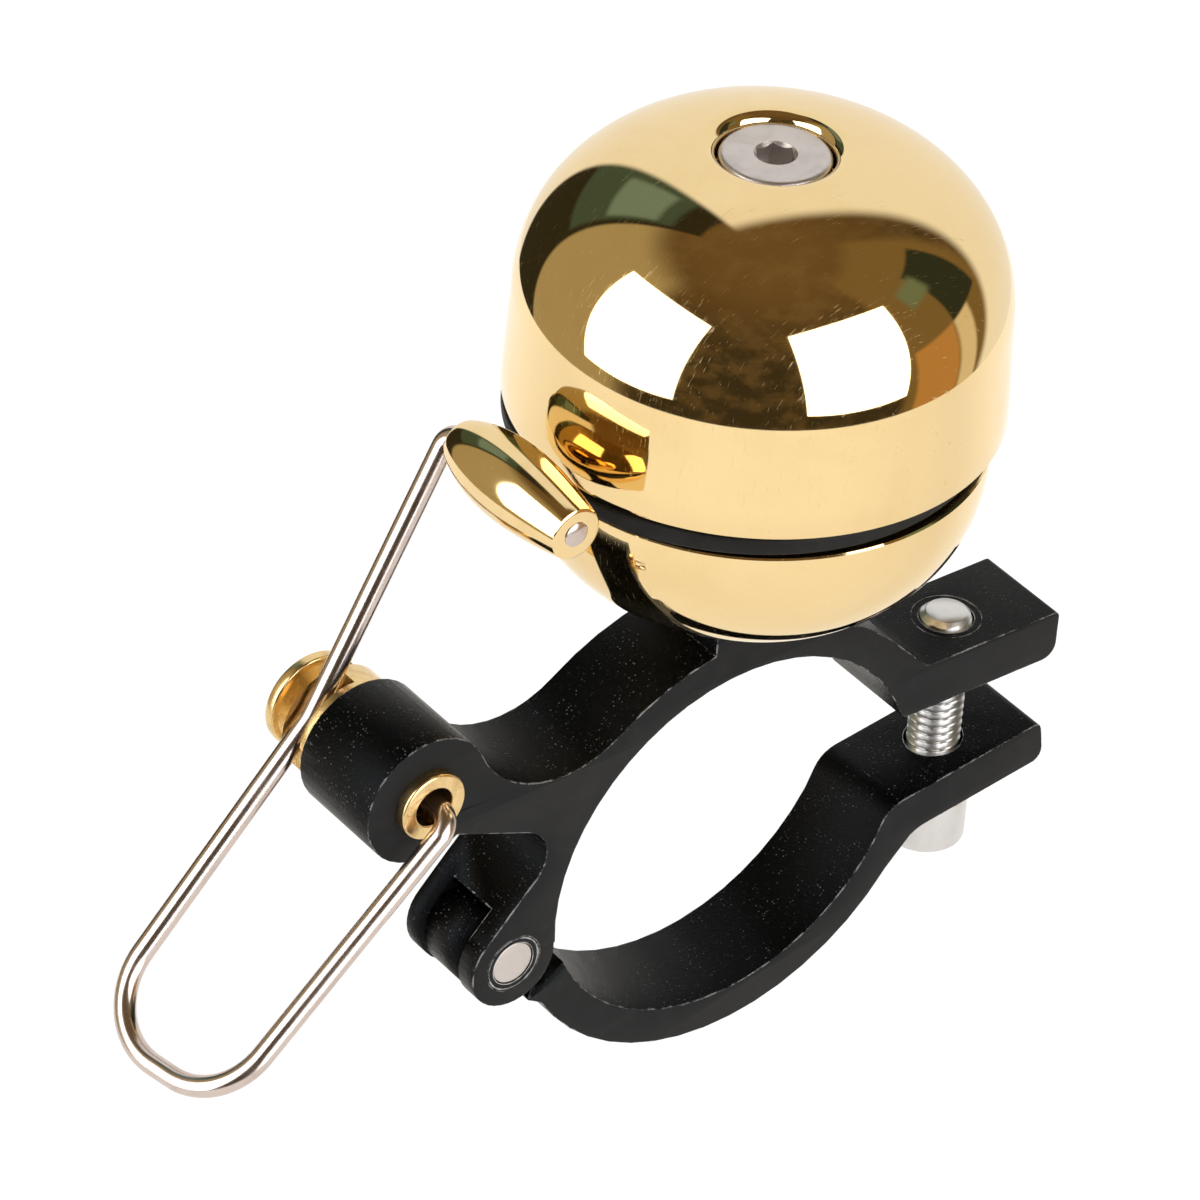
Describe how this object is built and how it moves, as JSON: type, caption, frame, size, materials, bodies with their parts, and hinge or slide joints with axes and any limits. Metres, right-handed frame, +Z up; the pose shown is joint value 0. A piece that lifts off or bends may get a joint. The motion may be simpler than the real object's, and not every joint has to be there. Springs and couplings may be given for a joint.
{
  "type": "bicycle bell",
  "caption": "Brass bell dome and cup on a hinged handlebar clamp, rung by a barrel hammer on a sprung wire loop that the thumb pulls back.",
  "frame": {"origin": "centre of the handlebar bore, in the middle of the clamp's width", "axes": "+Y along the handlebar towards the back of the clamp, +Z up along the bell's axis, +X towards the clamp screw"},
  "size_m": [0.0777, 0.0352, 0.073],
  "materials": {
    "brass": "mirror polished and lacquered",
    "clamp_black": "blasted and black anodised, edges worn bright",
    "steel": "bright stainless",
    "nickel": "bright nickel plate",
    "rubber": "matt black"
  },
  "bodies": {
    "clamp": {"clamp_frame": "clamp_black", "hinge_pin": "steel", "base_cup": "brass", "bell_dome": "brass", "dome_screw": "steel", "seat_washer": "rubber", "cup_washer": "steel", "lower_spacer": "nickel", "upper_spacer": "nickel", "dome_washer": "rubber", "crown_washer": "rubber", "gap_disc": "rubber", "pivot_bush": "brass", "torsion_spring": "steel"},
    "strap": {"clamp_strap": "clamp_black"},
    "screw": {"clamp_screw": "steel"},
    "striker": {"pivot_spool": "brass", "striker_wire": "nickel", "striker_hammer": "brass"}
  },
  "joints": [
    {"name": "striker_pivot", "type": "hinge", "parent": "clamp", "child": "striker", "pos_m": [-0.0281, 0, 0.0162], "axis": [0, -1, 0], "range_deg": [-1.5, 35], "stiffness_Nm_per_rad": 0.02},
    {"name": "strap_hinge", "type": "hinge", "parent": "clamp", "child": "strap", "pos_m": [-0.01956, 0, -0.00194], "axis": [0, 1, 0], "range_deg": [0, 85]},
    {"name": "clamp_screw_travel", "type": "slide", "parent": "strap", "child": "screw", "axis": [0, 0, -1], "range_m": [0, 0.012]}
  ],
  "couplings": [
    {"joint": "clamp_screw_travel", "follows": "strap_hinge", "m_per_rad": 0.008}
  ]
}
